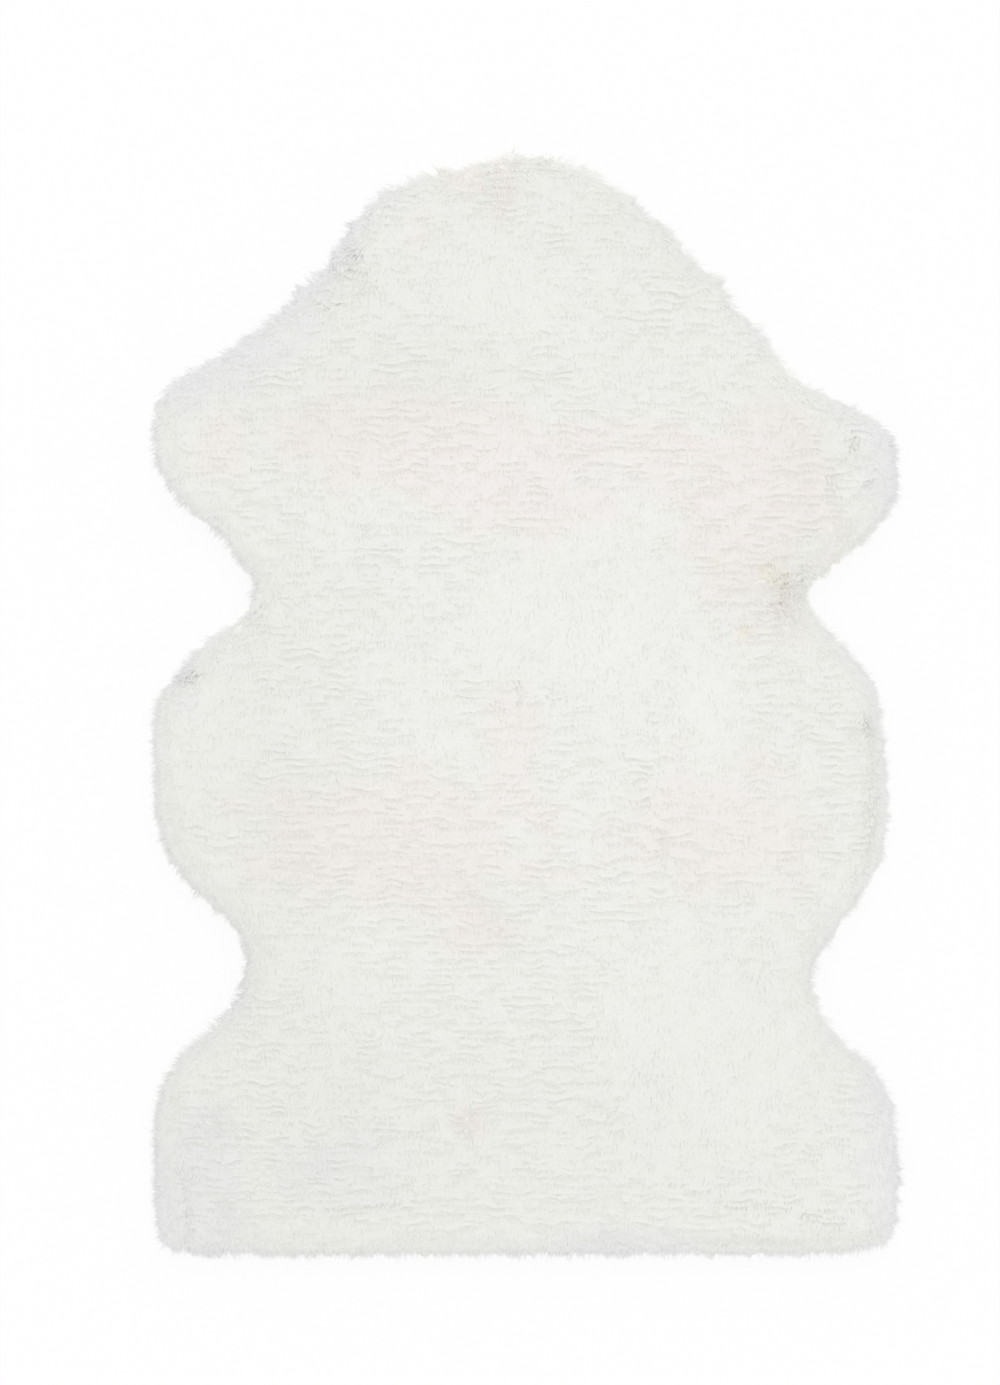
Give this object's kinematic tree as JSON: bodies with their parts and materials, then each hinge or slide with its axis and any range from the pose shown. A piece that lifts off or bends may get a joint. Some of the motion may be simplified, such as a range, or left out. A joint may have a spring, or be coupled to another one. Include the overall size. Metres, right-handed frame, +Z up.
{
  "type": "pelt-shaped faux-fur rug",
  "caption": "Off-white short-napped faux-fur rug cut to the outline of a pelt, lying flat, with a rounded furry rim and soft partings in the nap.",
  "frame": {"origin": "on the floor, under the middle of the rug's bounding box", "axes": "+Y from the hem to the neck, +X to the right seen from above with the neck at the top, +Z up out of the nap"},
  "size_m": [0.61, 0.9, 0.024],
  "materials": {
    "faux_fur_nap": "soft dense acrylic nap, matt",
    "knitted_ground": "fine warp-knitted ground, matt"
  },
  "bodies": {
    "root": {"fur_rug": "faux_fur_nap"}
  },
  "joints": []
}
